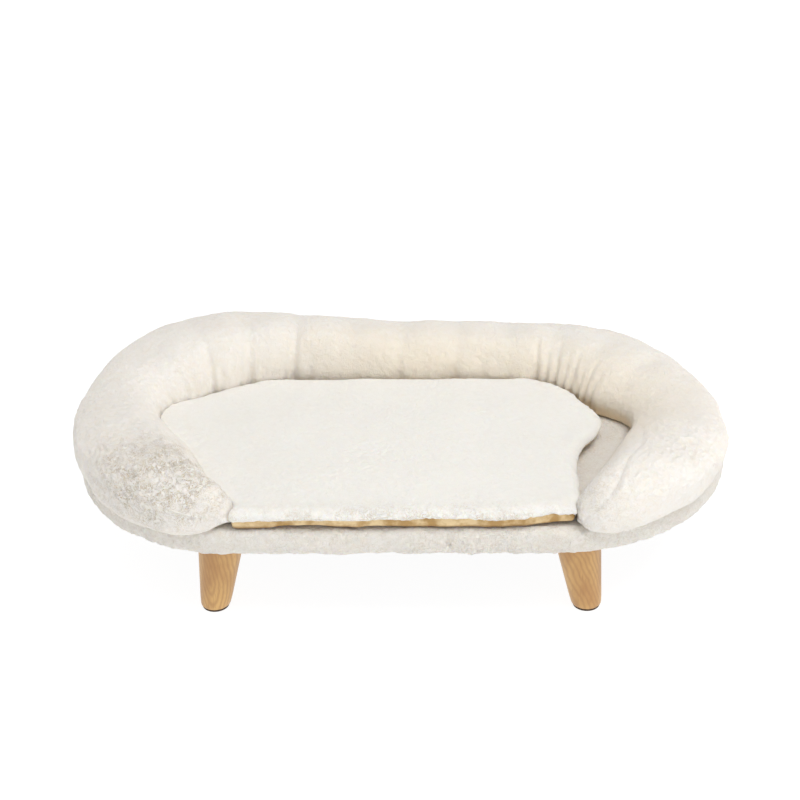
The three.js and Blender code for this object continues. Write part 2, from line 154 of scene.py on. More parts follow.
def outward_normals(rings, centre):
    """Unit normals of rings of points, on the side that faces away from the centre."""
    round_the_ring = np.roll(rings, -1, 1) - np.roll(rings, 1, 1)
    normals = np.cross(round_the_ring, np.gradient(rings, axis=0))
    normals /= np.maximum(np.linalg.norm(normals, axis=-1, keepdims=True), 1e-12)
    outward = (normals * (rings - centre)).sum(axis=-1)
    return normals * np.sign(outward.mean())


def weld(made):
    """Joins points that fall together, such as those of a ring that closes on a line."""
    shape = bmesh.new()
    shape.from_mesh(made.data)
    bmesh.ops.remove_doubles(shape, verts=shape.verts, dist=0.02 * MM)
    bmesh.ops.recalc_face_normals(shape, faces=shape.faces)
    for edge in shape.edges:
        edge.smooth = not edge.is_boundary
    shape.to_mesh(made.data)
    shape.free()
    made.data.polygons.foreach_set("use_smooth", [True] * len(made.data.polygons))


def tube(name, rings):
    """An object of rings of points, whose first and last may close on a point or a line."""
    made = new_object(name, rings, tube_faces(*rings.shape[:2]))
    weld(made)
    return made


def compact(points, faces):
    """Only the points that the faces use."""
    used, index = np.unique(np.array(faces), return_inverse=True)
    return points[used], index.reshape(-1, len(faces[0])).tolist()


def add_modifier(made, kind, **settings):
    modifier = made.modifiers.new(kind.title(), kind)
    for name, value in settings.items():
        setattr(modifier, name, value)


def bevel(made, width):
    add_modifier(made, "BEVEL", width=width, segments=2, limit_method="ANGLE")


def finish(made, body, material, replaced=()):
    """Gives a piece its material and body, and hides the CAD nodes it replaces."""
    made.data.materials.clear()
    made.data.materials.append(material)
    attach(made, body)
    if replaced:
        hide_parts(*replaced)


# ---- Materials ----
UPRIGHT = (0, math.pi / 2, 0)  # turns a wave's bands so that they follow one another up Z


def srgb(red, green, blue):
    """A linear colour from values of 0-255."""
    def linear(value):
        value /= 255
        return value / 12.92 if value <= 0.04045 else ((value + 0.055) / 1.055) ** 2.4
    return (linear(red), linear(green), linear(blue), 1)


class Surface:
    """A node material built round one Principled shader."""

    def __init__(self, name, **sockets):
        self.material = bpy.data.materials.new(name)
        self.material.use_nodes = True
        self.tree = self.material.node_tree
        self.shader = self.tree.nodes["Principled BSDF"]
        for socket, value in sockets.items():
            self.shader.inputs[socket.replace("_", " ")].default_value = value
        self.place = self.node("ShaderNodeTexCoord").outputs["Object"]

    def node(self, kind, **inputs):
        made = self.tree.nodes.new(kind)
        for name, value in inputs.items():
            self.set(made, name.replace("_", " "), value)
        return made

    def set(self, node, name, value):
        """Links or sets an input, which is given by its name or its index."""
        socket = node.inputs[name]
        if isinstance(value, bpy.types.NodeSocket):
            self.tree.links.new(value, socket)
        else:
            socket.default_value = value

    def mapped(self, scale=(1, 1, 1), rotation=(0, 0, 0), location=(0, 0, 0)):
        made = self.node(
            "ShaderNodeMapping", Vector=self.place, Scale=scale, Rotation=rotation, Location=location
        )
        return made.outputs["Vector"]

    def noise(self, size, detail=3, roughness=0.55, distortion=0.0, where=None):
        """Noise whose features are about size metres wide."""
        made = self.node(
            "ShaderNodeTexNoise",
            Vector=where or self.place,
            Scale=1 / size,
            Detail=detail,
            Roughness=roughness,
            Distortion=distortion,
        )
        return made.outputs["Fac"]

    def wave(self, size, rotation=(0, 0, 0), distortion=0.0):
        """Bands across X, turned by the rotation and WAVE_PERIOD times the size apart."""
        where = self.mapped(rotation=rotation)
        made = self.node("ShaderNodeTexWave", Vector=where, Scale=1 / size, Distortion=distortion)
        return made.outputs["Fac"]

    def cells(self, size):
        return self.node("ShaderNodeTexVoronoi", Vector=self.place, Scale=1 / size)

    def patch(self, centre, half_size):
        """1 at the centre, falling to 0 at the half size along each axis."""
        scale = [1 / size for size in half_size]
        where = self.mapped(scale=scale, location=[-place * factor for place, factor in zip(centre, scale)])
        made = self.node("ShaderNodeTexGradient", Vector=where)
        made.gradient_type = "SPHERICAL"
        return made.outputs["Fac"]

    def grey(self, value, low, high, dark=0.0, light=1.0):
        """The value stretched so that low gives dark and high gives light."""
        made = self.node(
            "ShaderNodeMapRange", Value=value, From_Min=low, From_Max=high, To_Min=dark, To_Max=light
        )
        return made.outputs["Result"]

    def maths(self, operation, first, second):
        made = self.tree.nodes.new("ShaderNodeMath")
        made.operation = operation
        self.set(made, 0, first)
        self.set(made, 1, second)
        return made.outputs["Value"]

    def mix(self, factor, first, second):
        """A blend of two colours, which are this node's inputs 6 and 7 and its output 2."""
        made = self.tree.nodes.new("ShaderNodeMix")
        made.data_type = "RGBA"
        for index, value in ((0, factor), (6, first), (7, second)):
            self.set(made, index, value)
        return made.outputs[2]

    def bump(self, *layers):
        """Each layer is (height value, depth in metres)."""
        normal = None
        for height, depth in layers:
            made = self.node("ShaderNodeBump", Height=height, Distance=depth, Strength=1.0)
            if normal:
                self.tree.links.new(normal, made.inputs["Normal"])
            normal = made.outputs["Normal"]
        self.set(self.shader, "Normal", normal)

    def colour(self, value):
        self.set(self.shader, "Base Color", value)


def plush(name, light, shade, sheen=0.35, curl=2 * MM, curls=0.15, patches=(), painted_warm_shade=()):
    """Short rabbit plush: mottled tufts, fine fibre tips, a soft sheen, and curls with painted shade in
    the thin partings between them. Each patch of stronger curls is (centre, half size, strength). The
    painted warm shade lists the places where warm shade is painted into the pile, as (centre, half size,
    colour)."""
    surface = Surface(
        name,
        Roughness=0.92,
        Sheen_Weight=sheen,
        Sheen_Roughness=0.45,
        Sheen_Tint=(1, 0.98, 0.95, 1),
        Subsurface_Weight=0.2,
        Subsurface_Radius=(0.009, 0.006, 0.0035),
        Subsurface_Scale=1.0,
    )
    tufts = surface.noise(6 * MM, detail=5, roughness=0.65, distortion=0.7)
    fibres = surface.noise(1.6 * MM, detail=3, roughness=0.7, distortion=1.0)
    broad = surface.noise(60 * MM, detail=2)
    lit_tufts = surface.grey(tufts, 0.36, 0.6, 0, 0.65)
    lit_fibres = surface.grey(fibres, 0.3, 0.7, 0, 0.35)
    cloth = surface.mix(surface.maths("ADD", lit_tufts, lit_fibres), shade, light)
    wear_and_warm_shade = surface.mix(surface.grey(broad, 0.35, 0.65, 0, 0.35), cloth, light)
    # Painted shade: thin dark lines where the curls part, stronger where the curls are stronger. The same
    # partings are also bumped.
    winding = surface.noise(5.5 * MM, detail=2, roughness=0.5, distortion=1.6)
    parting = surface.maths("ABSOLUTE", surface.maths("SUBTRACT", winding, 0.5), 0)
    parting_shade = surface.grey(parting, 0.004, 0.045, 1, 0)
    amount = surface.grey(surface.noise(26 * MM, detail=2), 0.35, 0.65, 0.6 * curls, 1.4 * curls)
    for centre, half_size, strength in patches:
        clumps = surface.grey(surface.noise(13 * MM, detail=3), 0.36, 0.62, 0.4, 1.5)
        ragged = surface.maths("MULTIPLY", surface.patch(centre, half_size), clumps)
        amount = surface.maths("ADD", amount, surface.grey(ragged, 0.03, 0.8, 0, strength))
    # Painted warm shade: each listed place is tinted towards its colour.
    for centre, half_size, tone in painted_warm_shade:
        wear_and_warm_shade = surface.mix(surface.grey(surface.patch(centre, half_size), 0.04, 0.4, 0, 0.7), wear_and_warm_shade, tone)
    # Painted shade of the partings, in a warm dark colour.
    dark = surface.maths("MULTIPLY", parting_shade, amount)
    surface.colour(surface.mix(dark, wear_and_warm_shade, srgb(210, 190, 158)))
    curled = surface.maths("MULTIPLY", surface.grey(parting, 0.0, 0.09, 0, 1), amount)
    surface.bump((tufts, curl), (fibres, curl * 0.5), (curled, 0.65 * MM))
    return surface.material


def satin_lining():
    surface = Surface(
        "lining_satin", Roughness=0.42, Sheen_Weight=0.15, Sheen_Roughness=0.3, Specular_IOR_Level=0.5
    )
    warp = surface.wave(2.4 * MM, distortion=1.5)
    weft = surface.wave(2.4 * MM, UPRIGHT, distortion=1.5)
    weave = surface.maths("MULTIPLY", warp, weft)
    folds = surface.noise(16 * MM, detail=3)
    tone = surface.mix(surface.grey(folds, 0.38, 0.62), srgb(184, 146, 86), srgb(234, 208, 160))
    woven = surface.mix(surface.grey(weave, 0, 1, 0, 0.12), tone, srgb(180, 146, 98))
    height = surface.node("ShaderNodeSeparateXYZ", Vector=surface.place).outputs["Z"]
    # Painted contact shadow: the fold that lies on the base is darkened towards the bottom, where shade
    # falls.
    painted_contact_shadow = surface.grey(height, MAT_LOW + 2 * MM, MAT_LOW + 6.5 * MM, 1, 0)
    surface.colour(surface.mix(painted_contact_shadow, woven, srgb(138, 98, 44)))
    surface.bump((folds, 1.2 * MM), (weave, 0.15 * MM))
    return surface.material


def fibre_filling():
    surface = Surface("fibre_filling", Roughness=1.0, Sheen_Weight=0.4)
    strands = surface.noise(2.5 * MM, detail=6, roughness=0.8, distortion=4)
    clumps = surface.noise(22 * MM, detail=3)
    surface.colour(surface.mix(strands, srgb(226, 226, 222), srgb(250, 250, 248)))
    surface.bump((clumps, 4 * MM), (strands, 1.2 * MM))
    return surface.material


def foam_sheet():
    surface = Surface("foam_sheet", Roughness=0.95)
    cells = surface.cells(1.2 * MM).outputs["Distance"]
    stains = surface.noise(40 * MM, detail=4)
    surface.colour(surface.mix(stains, srgb(222, 209, 168), srgb(240, 232, 205)))
    surface.bump((cells, 0.6 * MM))
    return surface.material


def dust_cloth():
    """Black spun-bonded cloth with its pattern of small bonded dots."""
    surface = Surface("spunbond_cloth", Roughness=0.85, Sheen_Weight=0.2)
    dots = surface.node(
        "ShaderNodeTexVoronoi", Vector=surface.mapped(rotation=(0, 0, math.radians(45))),
        Scale=1 / (1.8 * MM), Randomness=0.0,
    ).outputs["Distance"]
    fibres = surface.noise(3 * MM, detail=5, roughness=0.75, distortion=3)
    surface.colour(surface.mix(fibres, srgb(30, 30, 32), srgb(58, 58, 60)))
    surface.bump((dots, 0.25 * MM), (fibres, 0.15 * MM))
    return surface.material


def plywood():
    """Birch plywood: rotary-cut grain on the faces and thin plies at the edge."""
    surface = Surface("plywood_birch", Roughness=0.62)
    plies = surface.wave(5.5 * MM, UPRIGHT)
    grain = surface.noise(6 * MM, detail=6, distortion=1, where=surface.mapped(scale=(0.08, 1, 1)))
    face = surface.mix(grain, srgb(196, 160, 112), srgb(224, 193, 148))
    surface.colour(surface.mix(surface.grey(plies, 0.2, 0.8, 0, 0.3), face, srgb(160, 122, 80)))
    surface.bump((grain, 0.3 * MM))
    return surface.material


def leg_wood():
    """Oiled rubberwood: rings that arch down the leg, and short dark pores along the grain."""
    surface = Surface("leg_wood", Roughness=0.4, Coat_Weight=0.15, Coat_Roughness=0.35)
    lean = surface.mapped(rotation=(math.radians(19), math.radians(3), 0), location=(0.001, 0.031, 0))
    wander = surface.noise(34 * MM, detail=3, where=surface.mapped(scale=(1, 1, 0.5)))
    rings = surface.node(
        "ShaderNodeTexWave", Vector=lean, Scale=WAVE_PERIOD / (4.6 * MM), Distortion=4.0, Detail=3.0,
        Detail_Scale=0.7,
    )
    rings.wave_type = "RINGS"
    rings.rings_direction = "Z"
    pores = surface.noise(1.1 * MM, detail=2, roughness=0.5, where=surface.mapped(scale=(1, 1, 0.055)))
    early = surface.mix(surface.grey(wander, 0.35, 0.65), srgb(185, 138, 84), srgb(217, 174, 110))
    late = srgb(174, 127, 80)
    grain = surface.mix(surface.grey(rings.outputs["Fac"], 0.25, 1.0, 0, 0.5), early, late)
    surface.colour(surface.mix(surface.grey(pores, 0.6, 0.76, 0, 0.45), grain, srgb(146, 100, 58)))
    surface.bump((rings.outputs["Fac"], 0.12 * MM), (pores, 0.1 * MM))
    return surface.material


def zinc_steel():
    surface = Surface("zinc_steel", Metallic=1.0)
    spangle = surface.cells(6 * MM).outputs["Color"]
    scratches = surface.noise(1.5 * MM, detail=4, where=surface.mapped(scale=(1, 0.1, 1)))
    surface.colour(surface.mix(spangle, srgb(172, 176, 182), srgb(206, 209, 212)))
    surface.set(surface.shader, "Roughness", surface.grey(scratches, 0.3, 0.7, 0.24, 0.44))
    surface.bump((scratches, 0.05 * MM))
    return surface.material


def foot_rubber():
    surface = Surface("foot_rubber", Roughness=0.78)
    grit = surface.noise(1 * MM, detail=4, roughness=0.7)
    surface.colour(surface.mix(grit, srgb(60, 46, 36), srgb(92, 74, 60)))
    surface.bump((grit, 0.25 * MM))
    return surface.material


def zip_nylon():
    surface = Surface("zip_nylon", Roughness=0.5, Sheen_Weight=0.2)
    weave = surface.wave(1.6 * MM, rotation=(0, math.pi / 4, 0))
    surface.colour(surface.mix(weave, srgb(214, 200, 168), srgb(236, 224, 198)))
    surface.bump((weave, 0.12 * MM))
    return surface.material


def zip_metal():
    surface = Surface("zip_metal", Metallic=1.0)
    wear = surface.noise(2 * MM, detail=4)
    surface.colour(surface.mix(wear, srgb(176, 170, 158), srgb(214, 208, 196)))
    surface.set(surface.shader, "Roughness", surface.grey(wear, 0.3, 0.7, 0.22, 0.4))
    return surface.material


# Places on the plush, each with its centre, its half size and the colour of its painted warm shade or the
# strength of its curls, whose thin partings carry painted shade.
# Painted warm shade inside the roll, where it faces the mat and light bounces between the folds.
WARM_SHADE_INSIDE_THE_ROLL = ((0.04, 0.0, 0.17), (0.35, 0.18, 0.3), srgb(249, 234, 212))
# Painted warm contact shadow along the roll's foot, where it sits on the base.
CONTACT_SHADOW_AT_ROLL_FOOT = ((0.04, -0.01, 0.135), (0.36, 0.2, 0.03), srgb(240, 208, 156))
LEFT_ARM_CURLS = ((-0.252, -0.172, 0.186), (0.115, 0.095, 0.07), 0.95)
RIGHT_ARM_CURLS = ((0.212, -0.160, 0.165), (0.065, 0.10, 0.06), 0.4)
MAT_EDGE_CURLS = ((0.02, -0.2, 0.14), (0.34, 0.035, 0.035), 0.7)
BOLSTER_PLUSH = plush(
    "plush_cream", srgb(253, 248, 242), srgb(249, 239, 226), curls=0.05,
    patches=(LEFT_ARM_CURLS, RIGHT_ARM_CURLS), painted_warm_shade=(WARM_SHADE_INSIDE_THE_ROLL, CONTACT_SHADOW_AT_ROLL_FOOT),
)
BASE_PLUSH = plush("plush_base", srgb(252, 247, 240), srgb(241, 233, 222), curl=2.8 * MM, curls=0.24)
MAT_PLUSH = plush(
    "plush_white", srgb(244, 242, 237), srgb(239, 236, 230), sheen=0.25, curl=1.0 * MM, curls=0.03,
    patches=(MAT_EDGE_CURLS,),
)
LINING = satin_lining()
FIBRE = fibre_filling()
FOAM = foam_sheet()
DUST_CLOTH = dust_cloth()
PLYWOOD = plywood()
LEG_WOOD = leg_wood()
STEEL = zinc_steel()
RUBBER = foot_rubber()
ZIP_NYLON = zip_nylon()
ZIP_METAL = zip_metal()

# ---- Bolster ----
# Plan of the bolster. Its outer edge runs straight along the back and then turns at an even rate about
# the centre of the base's round end. Each row is a place that shapes the roll: where a corner begins,
# its middle, where the arm begins, two places down the arm, and the tip. It gives the distance along the
# roll, x and y of the inner edge, the radius of the outer edge and the height, in millimetres.
# The two sides of a stuffed bolster are never quite alike, so each has its own rows.
TURN_RADIUS = 154 * MM  # length of roll for each radian that its outer edge turns
BACK_ROW = (0, 0, 105, 195, 70)
RIGHT_ROWS = [
    (150, 150, 100, 200, 65),
    (275, 225, 50, 200, 60),
    (400, 270, 0, 195, 50),
    (500, 240, -85, 210, 60),
    (585, 205, -160, 215, 60),
    (630, 185, -190, 215, 35),
]
LEFT_ROWS = [
    (150, 150, 105, 205, 80),
    (275, 235, 65, 220, 80),
    (400, 285, 10, 205, 60),
    (500, 235, -80, 210, 70),
    (585, 195, -155, 220, 65),
    (630, 160, -190, 215, 40),
]

# Gathers of the cover: where each starts near the top of the roll and where it ends at the mat
# (distance along the roll in mm), how deep and how wide it is, and the section angle it starts at.
# The angle runs from 0 at the outer edge over 90 at the top to 180 at the inner edge.
PUFF = 64  # distance between the roll's puffs, whose ends are marked by dents and, at some, deep gathers
DENT = {"depth": 2.8, "width": 15, "angle": 92, "spread": 42}
GATHER_FOOT = 205  # section angle at which the gathers reach the mat
DEEP_GATHERS = [
    (PUFF * puffs, PUFF * puffs - 5, deep, 7.5, 118)
    for puffs, deep in ((-4, 7), (-3, 7), (-2, 8.5), (0, 3.5), (1, 3.5))
]
# The right corner is gathered most: a fan of folds, each second one shorter and shallower.
CORNER_FAN = [
    (170 + 16 * fold, 162 + 15 * fold, 8.5 - 0.4 * fold - 1.5 * odd, 6, 108 + 2 * fold + 14 * odd)
    for fold, odd in enumerate((0, 1) * 4)
]
SMALL_PITCH = 34
SMALL_GATHERS = [
    (at, at - 5, 1.2 + 0.8 * (at // SMALL_PITCH % 3), 8, 146) for at in range(-380, 150, SMALL_PITCH)
]
GATHERS = DEEP_GATHERS + CORNER_FAN + SMALL_GATHERS


def curve_through(places, values, where):
    """Values at the given places along a smooth curve through the points (Catmull-Rom)."""
    places = np.asarray(places, float)
    values = np.asarray(values, float)
    slopes = np.gradient(values, places, axis=0)
    index = np.clip(np.searchsorted(places, where, side="right") - 1, 0, len(places) - 2)
    span = (places[index + 1] - places[index])[:, None]
    t = ((where - places[index]) / span[:, 0])[:, None]
    start, end = values[index], values[index + 1]
    return (
        (2 * t**3 - 3 * t**2 + 1) * start
        + (t**3 - 2 * t**2 + t) * span * slopes[index]
        + (3 * t**2 - 2 * t**3) * end
        + (t**3 - t**2) * span * slopes[index + 1]
    )


def roll_plan(along):
    """Inner edge, outer edge and height of the roll at distances along it, right side positive."""
    left = [(-at, -x, y, radius, height) for at, x, y, radius, height in LEFT_ROWS]
    rows = np.array([*left[::-1], BACK_ROW, *RIGHT_ROWS]) * MM
    found = curve_through(rows[:, 0], rows[:, 1:], along)
    radius = found[:, 2]
    straight = np.minimum(np.abs(along), ROUND_CENTRE)
    turned = (np.abs(along) - straight) / TURN_RADIUS
    outer_x = np.sign(along) * (straight + radius * np.sin(turned))
    outer = np.stack([outer_x, radius * np.cos(turned)], axis=-1)
    return found[:, 0:2], outer, found[:, 3]


def outside_base(x, y):
    """How far a point of the plan is outside the base's outline."""
    return np.hypot(np.maximum(np.abs(x) - ROUND_CENTRE, 0), y) - BASE_RADIUS


def tip_closing(along):
    """Share of the roll's width that is left as its tips close."""
    past = np.clip(1 - (ROLL_HALF - np.abs(along)) / TIP_ROUNDING, 0, 1)
    return np.sqrt(1 - past**2)


def roll_surface(along, angles, inset=0.0):
    """Points of the roll before its gathers, for distances along it and section angles in degrees."""
    inner, outer, height = roll_plan(along)
    middle = (inner + outer) / 2
    across = outer - inner
    half_width = np.linalg.norm(across, axis=1)
    across = across / half_width[:, None]
    closing = tip_closing(along)
    half_width = half_width / 2 * closing - inset
    lowered = height * (1 - closing)
    height = height * closing

    turn = np.radians(angles)
    outer_low = smooth(-np.sin(turn), 0, 0.5) * smooth(np.cos(turn), -0.1, 0.6)
    inner_low = smooth(-np.sin(turn), 0, 0.5) * smooth(-np.cos(turn), -0.1, 0.6)
    inner_high = smooth(np.sin(turn), 0, 0.5) * smooth(-np.cos(turn), -0.1, 0.6)
    on_arm = smooth(np.abs(along), ARM_START - 0.03, ARM_START + 0.06)[:, None]
    power = 2 / (2.25 + (2.2 - on_arm) * outer_low + 5 * inner_low - 0.35 * inner_high * on_arm)
    sideways = np.sign(np.cos(turn)) * np.abs(np.cos(turn)) ** power
    upward = np.sign(np.sin(turn)) * np.abs(np.sin(turn)) ** power

    plan = middle[:, None, :] + across[:, None, :] * (half_width[:, None] * sideways)[..., None]
    widest = height[:, None] * (0.5 - 0.24 * smooth(-np.cos(turn), -0.3, 0.9))
    reach = np.where(upward > 0, height[:, None] - widest, widest) - inset
    z = ROLL_LOW + (lowered * 0.35)[:, None] + widest + reach * upward
    overhang = smooth(outside_base(plan[..., 0], plan[..., 1]), -4 * MM, 5 * MM)
    z = z - DROOP * overhang * smooth(-upward, -0.2, 0.75)
    return np.concatenate([plan, z[..., None]], axis=-1)


def gather_depth(along, angles):
    """How far the gathers and dents pull the cover in, in metres."""
    along = along[:, None] / MM
    depth = 0 * along * angles
    above_base = 1 - smooth(angles, 225, 255)
    for top, foot, deep, wide, start in GATHERS:
        share = (angles - start) / (GATHER_FOOT - start)
        centre = top + (foot - top) * np.clip(share, 0, 1.2)
        fade = smooth(angles, start - 26, start + 22) * above_base
        crease = 0.62 * bell(along, centre, wide * 0.6) + 0.38 * bell(along, centre, wide * 2.1)
        depth += deep * crease * fade * (0.45 + 0.55 * smooth(share, 0, 0.7))
    dented = bell(angles, DENT["angle"], DENT["spread"])
    for at in range(-5 * PUFF, 6 * PUFF, PUFF):
        depth += DENT["depth"] * bell(along, at, DENT["width"]) * dented
    return depth * MM


def small_pleats(points, along, angles):
    """Fine uneven pleats that run up from the mat and fade towards the top of the roll."""
    lengthways = along[:, None] + 0 * angles
    run = np.stack([lengthways, 0.25 * angles * MM, points[..., 2] * 0.2], axis=-1)
    pleats = noise(run, 17 * MM, 31) + 0.5 * noise(run, 9 * MM, 32)
    where = smooth(angles, 112, 165) * (1 - smooth(angles, 225, 250))
    bend = 0.35 + 0.9 * bell(along, 0.25, 0.07)[:, None] + 0.5 * bell(along, -0.3, 0.08)[:, None]
    return pleats * where * bend * 1.7 * MM


def arm_wrinkles(points, angles):
    """Soft folds of the loose cover on the arms and round the outside."""
    broad = noise(points, 52 * MM, 41, 1.6)
    folds = noise(points, 24 * MM, 42, 0.7)
    free = 1 - 0.75 * bell(angles, 190, 32)  # the mat presses the inner side flat
    return (2.6 * broad + 1.0 * folds) * free * MM


# Seam of an end panel: distance along the roll in mm and section angle. It leaves the inner edge
# where the arm begins and climbs to the top of the roll near its tip.
SEAM = [(390, 205), (440, 150), (520, 110), (590, 85), (630, 45)]
UNDER_ARM = 240  # section angle of the panel's lower edge, below the roll
ROLL_ROWS = 350  # rows of points from the middle of the back to where a tip begins to close
TIP_ROWS = 16  # rows over a tip
SEAM_COLUMN = 76  # columns of points from the roll's outer edge to the seam
PANEL_COLUMNS = 40  # columns of an end panel, from its seam to its lower edge
UNDER_COLUMNS = 22  # columns from there back to the outer edge


def seam_angle(along):
    places, angles = np.array(SEAM, float).T
    where = np.clip(np.abs(along) / MM, places[0], places[-1])
    return curve_through(places, angles[:, None], where)[:, 0]


def seam_shows(along):
    """How much of each seam shows in the pile: most of the right one, two short stretches of the left."""
    far = np.abs(along)
    right = smooth(far, 0.44, 0.52) * (1 - 0.8 * smooth(far, 0.607, 0.622))
    left = bell(far, 0.556, 0.008) + bell(far, 0.582, 0.007)
    return np.where(along > 0, right, left)[:, None]


def rows_on_grid():
    half = np.linspace(0, ROLL_HALF - TIP_ROUNDING, ROLL_ROWS)
    tip = TIP_ROUNDING * np.sin(np.linspace(0, math.pi / 2, TIP_ROWS)[1:])
    half = np.concatenate([half, ROLL_HALF - TIP_ROUNDING + tip])
    along = np.concatenate([-half[:0:-1], half])
    seam = seam_angle(along)[:, None]
    angles = []
    parts = (0, seam, SEAM_COLUMN), (seam, UNDER_ARM, PANEL_COLUMNS), (UNDER_ARM, 360, UNDER_COLUMNS)
    for start, end, count in parts:
        share = np.linspace(0, 1, count, endpoint=False)
        angles.append(start + share * (end - start) + 0 * seam)
    return along, np.concatenate(angles, axis=1)


def build_roll():
    """Every point of the bolster's cover."""
    along, angles = rows_on_grid()
    plain = roll_surface(along, angles)
    normals = outward_normals(plain, centre=plain.mean(axis=1, keepdims=True))
    steps = np.linalg.norm(np.diff(plain, axis=1), axis=-1)
    walk = np.concatenate([np.zeros((len(along), 1)), np.cumsum(steps, axis=1)], axis=1)
    from_seam = np.abs(walk - walk[:, SEAM_COLUMN][:, None])
    free = smooth(plain[..., 2], ROLL_LOW - DROOP, ROLL_LOW + 10 * MM)  # 0 where it lies on the base
    shape = small_pleats(plain, along, angles) + arm_wrinkles(plain, angles) - gather_depth(along, angles)
    on_arm = smooth(np.abs(along), ARM_START + 0.02, ARM_START + 0.08)[:, None]
    groove = bell(from_seam, 0, 3.2 * MM) * (0.8 + 0.5 * noise(plain, 30 * MM, 43))
    shoulder = bell(from_seam, 0, 12 * MM)
    shape = shape + (0.5 * shoulder - 2.6 * groove) * seam_shows(along) * MM
    moved = plain + normals * (shape * (0.12 + 0.88 * free))[..., None]
    relief = pile_height(moved, 3) * (0.85 + 1.0 * on_arm) * MM
    moved = moved + normals * (relief * (0.3 + 0.7 * free))[..., None]
    for end in (0, -1):
        moved[end] = moved[end].mean(axis=0)
    return along, moved


def bolster():
    along, points = build_roll()
    rows, columns = points.shape[:2]
    faces = np.array(tube_faces(rows, columns))
    row, column = faces[:, 0] // columns, faces[:, 0] % columns
    in_panel = (column >= SEAM_COLUMN) & (column < SEAM_COLUMN + PANEL_COLUMNS)
    on_panel = in_panel & (np.abs(along[row] + along[row + 1]) / 2 > ARM_START)
    flat = points.reshape(-1, 3)
    pieces = {"bolster_cover": faces[~on_panel].tolist()}
    for name, side in (("bolster_end_left", -1), ("bolster_end_right", 1)):
        pieces[name] = faces[on_panel & (np.sign(along[row]) == side)].tolist()

    for name, quads in pieces.items():
        piece = new_object(name + "_plush", *compact(flat, quads))
        weld(piece)
        add_modifier(piece, "SOLIDIFY", thickness=CLOTH, offset=-1)
        finish(piece, "base", BOLSTER_PLUSH, [name])


def bolster_fibre():
    """The loose fibre inside the cover, a little smaller than the cover and following its gathers."""
    rows, columns = 230, 48
    along = np.linspace(-ROLL_HALF + 8 * MM, ROLL_HALF - 8 * MM, rows)
    angles = np.linspace(0, 360, columns, endpoint=False)
    points = roll_surface(along, angles, inset=9 * MM)
    centre = points.mean(axis=1, keepdims=True)
    outward = points - centre
    reach = np.linalg.norm(outward, axis=-1)
    lumps = noise(points, 26 * MM, 51) * 1.5 * MM
    shrink = (np.minimum(gather_depth(along, angles), 8 * MM) + 2 * MM - lumps) / np.maximum(reach, 4 * MM)
    points = centre + outward * np.clip(1 - shrink, 0.2, 1)[..., None]
    faces = tube_faces(rows, columns) + fan_faces(rows, columns)
    ends = [points[end].mean(axis=0)[None] for end in (0, -1)]
    flat = np.concatenate([points.reshape(-1, 3), *ends])
    made = new_object("bolster_fibre", flat, faces)
    finish(made, "base", FIBRE, ["bolster_filling"])


def fan_faces(rows, columns):
    """Triangles that close the two open ends of a tube, round two points stored after its grid."""
    first, last = rows * columns, rows * columns + 1
    faces = []
    for column in range(columns):
        after = (column + 1) % columns
        faces.append((first, after, column))
        faces.append((last, (rows - 1) * columns + column, (rows - 1) * columns + after))
    return faces


# ---- Base ----
def round_base(count):
    """For a walk round the base: the point of its middle line that each direction starts from, and
    the outward direction."""
    straight = 2 * ROUND_CENTRE
    arc = math.pi * BASE_RADIUS
    on_straight = round(count / 2 * straight / (straight + arc))
    walk = np.concatenate([
        np.linspace(0, straight, on_straight, endpoint=False),
        straight + np.linspace(0, arc, count // 2 - on_straight, endpoint=False),
    ])  # along the front and round the right; the rear and the left are its mirror
    turned = np.maximum(walk - straight, 0) / BASE_RADIUS - math.pi / 2
    middle = np.stack([np.minimum(walk, straight) - ROUND_CENTRE, 0 * walk], axis=-1)
    outward = np.stack([np.cos(turned), np.sin(turned)], axis=-1)
    return np.concatenate([middle, -middle]), np.concatenate([outward, -outward])


def base_rings(section, count):
    """A ring of points round the base for each (inset, height) of the section."""
    middle, outward = round_base(count)
    rings = []
    for inset, height in section:
        plan = middle + outward * (BASE_RADIUS - inset)
        rings.append(np.concatenate([plan, np.full((count, 1), height)], axis=-1))
    return np.array(rings)


def arc_points(centre, radius, start, end, steps):
    """(inset, height) points of an arc of the section, with angles in degrees from straight out."""
    angles = np.radians(np.linspace(start, end, steps))
    return [(centre[0] - radius * math.cos(a), centre[1] + radius * math.sin(a)) for a in angles]


